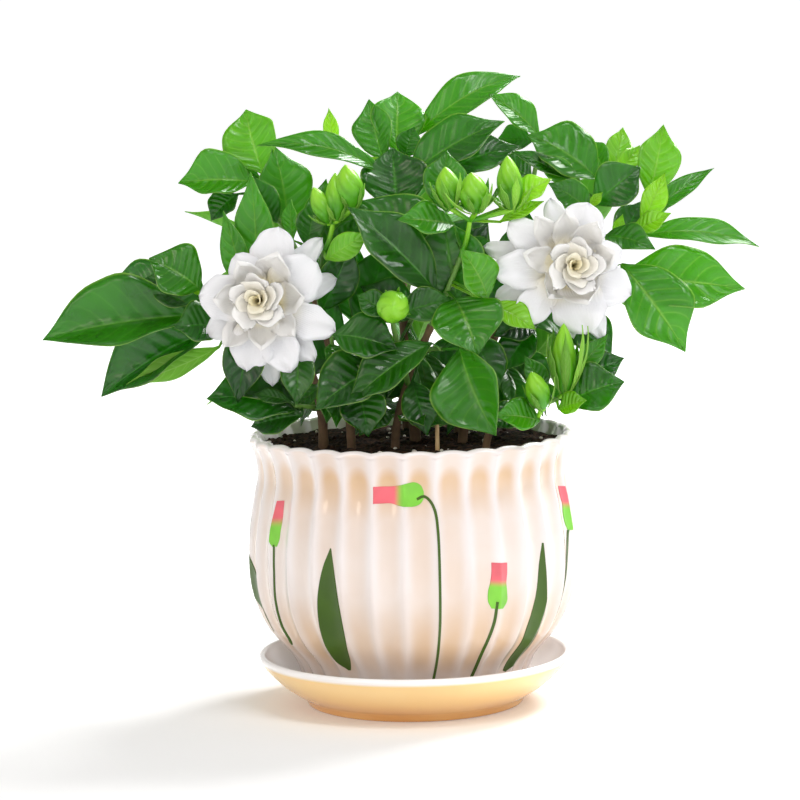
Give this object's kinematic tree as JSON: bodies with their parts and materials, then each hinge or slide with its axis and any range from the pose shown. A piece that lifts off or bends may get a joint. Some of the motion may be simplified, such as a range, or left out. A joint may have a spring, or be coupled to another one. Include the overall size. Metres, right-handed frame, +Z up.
{
  "type": "potted gardenia",
  "caption": "Leafy flowering gardenia bush with double white blooms and green buds, in a fluted glazed bowl pot on a matching saucer.",
  "frame": {"origin": "centre of the saucer's foot, on the surface that the plant stands on", "axes": "+Z up, -Y the front that the picture shows, +X to the right as seen from the front and along the bush's widest spread"},
  "size_m": [0.3563, 0.2049, 0.3152],
  "materials": {
    "tan_glaze": "glossy warm tan glaze, white on the lip and inside",
    "white_glaze": "glossy white glaze, warm in the grooves, with a simple painted ornament of buds and blades",
    "soil": "loose dark potting soil with white grains",
    "bark": "thin brown bark",
    "dry_wood": "bare tan wood",
    "leaf": "glossy deep green leaf, lighter where light shines through",
    "bud_green": "smooth yellow-green bud and stalk",
    "petal": "soft white petal, cream towards the heart"
  },
  "bodies": {
    "root": {"saucer": "tan_glaze", "pot": "white_glaze", "potting_soil": "soil", "plant_stick": "dry_wood", "bloom_left_calyx": "bud_green", "bloom_left_petals": "petal", "bloom_right_calyx": "bud_green", "bloom_right_petals": "petal", "flower_bud_low_right": "bud_green", "flower_bud_opening": "bud_green", "flower_bud_round": "bud_green", "flower_buds_left": "bud_green", "flower_buds_middle": "bud_green", "leafy_stem_back_left": "leaf", "leafy_stem_back_low_left": "leaf", "leafy_stem_back_low_middle": "leaf", "leafy_stem_back_low_right": "leaf", "leafy_stem_back_middle": "leaf", "leafy_stem_back_right": "leaf", "leafy_stem_behind_left_bloom": "leaf", "leafy_stem_behind_right_bloom": "leaf", "leafy_stem_front_left": "leaf", "leafy_stem_inner_left": "leaf", "leafy_stem_inner_low": "leaf", "leafy_stem_inner_middle": "leaf", "leafy_stem_inner_right": "leaf", "leafy_stem_left": "leaf", "leafy_stem_low_left": "leaf", "leafy_stem_low_middle": "leaf", "leafy_stem_low_right": "leaf", "leafy_stem_middle": "leaf", "leafy_stem_middle_bud": "leaf", "leafy_stem_right": "leaf", "leafy_stem_right_top": "leaf", "leafy_stem_top": "leaf", "leafy_stem_top_right": "leaf", "leafy_stem_upper_left": "leaf", "leafy_stem_upper_left_inner": "leaf", "woody_stem_back": "bark", "woody_stem_back_left": "bark", "woody_stem_back_right": "bark", "woody_stem_front": "bark", "woody_stem_left": "bark", "woody_stem_low_right": "bark", "woody_stem_middle": "bark", "woody_stem_right": "bark", "woody_stem_upper_left": "bark"}
  },
  "joints": []
}
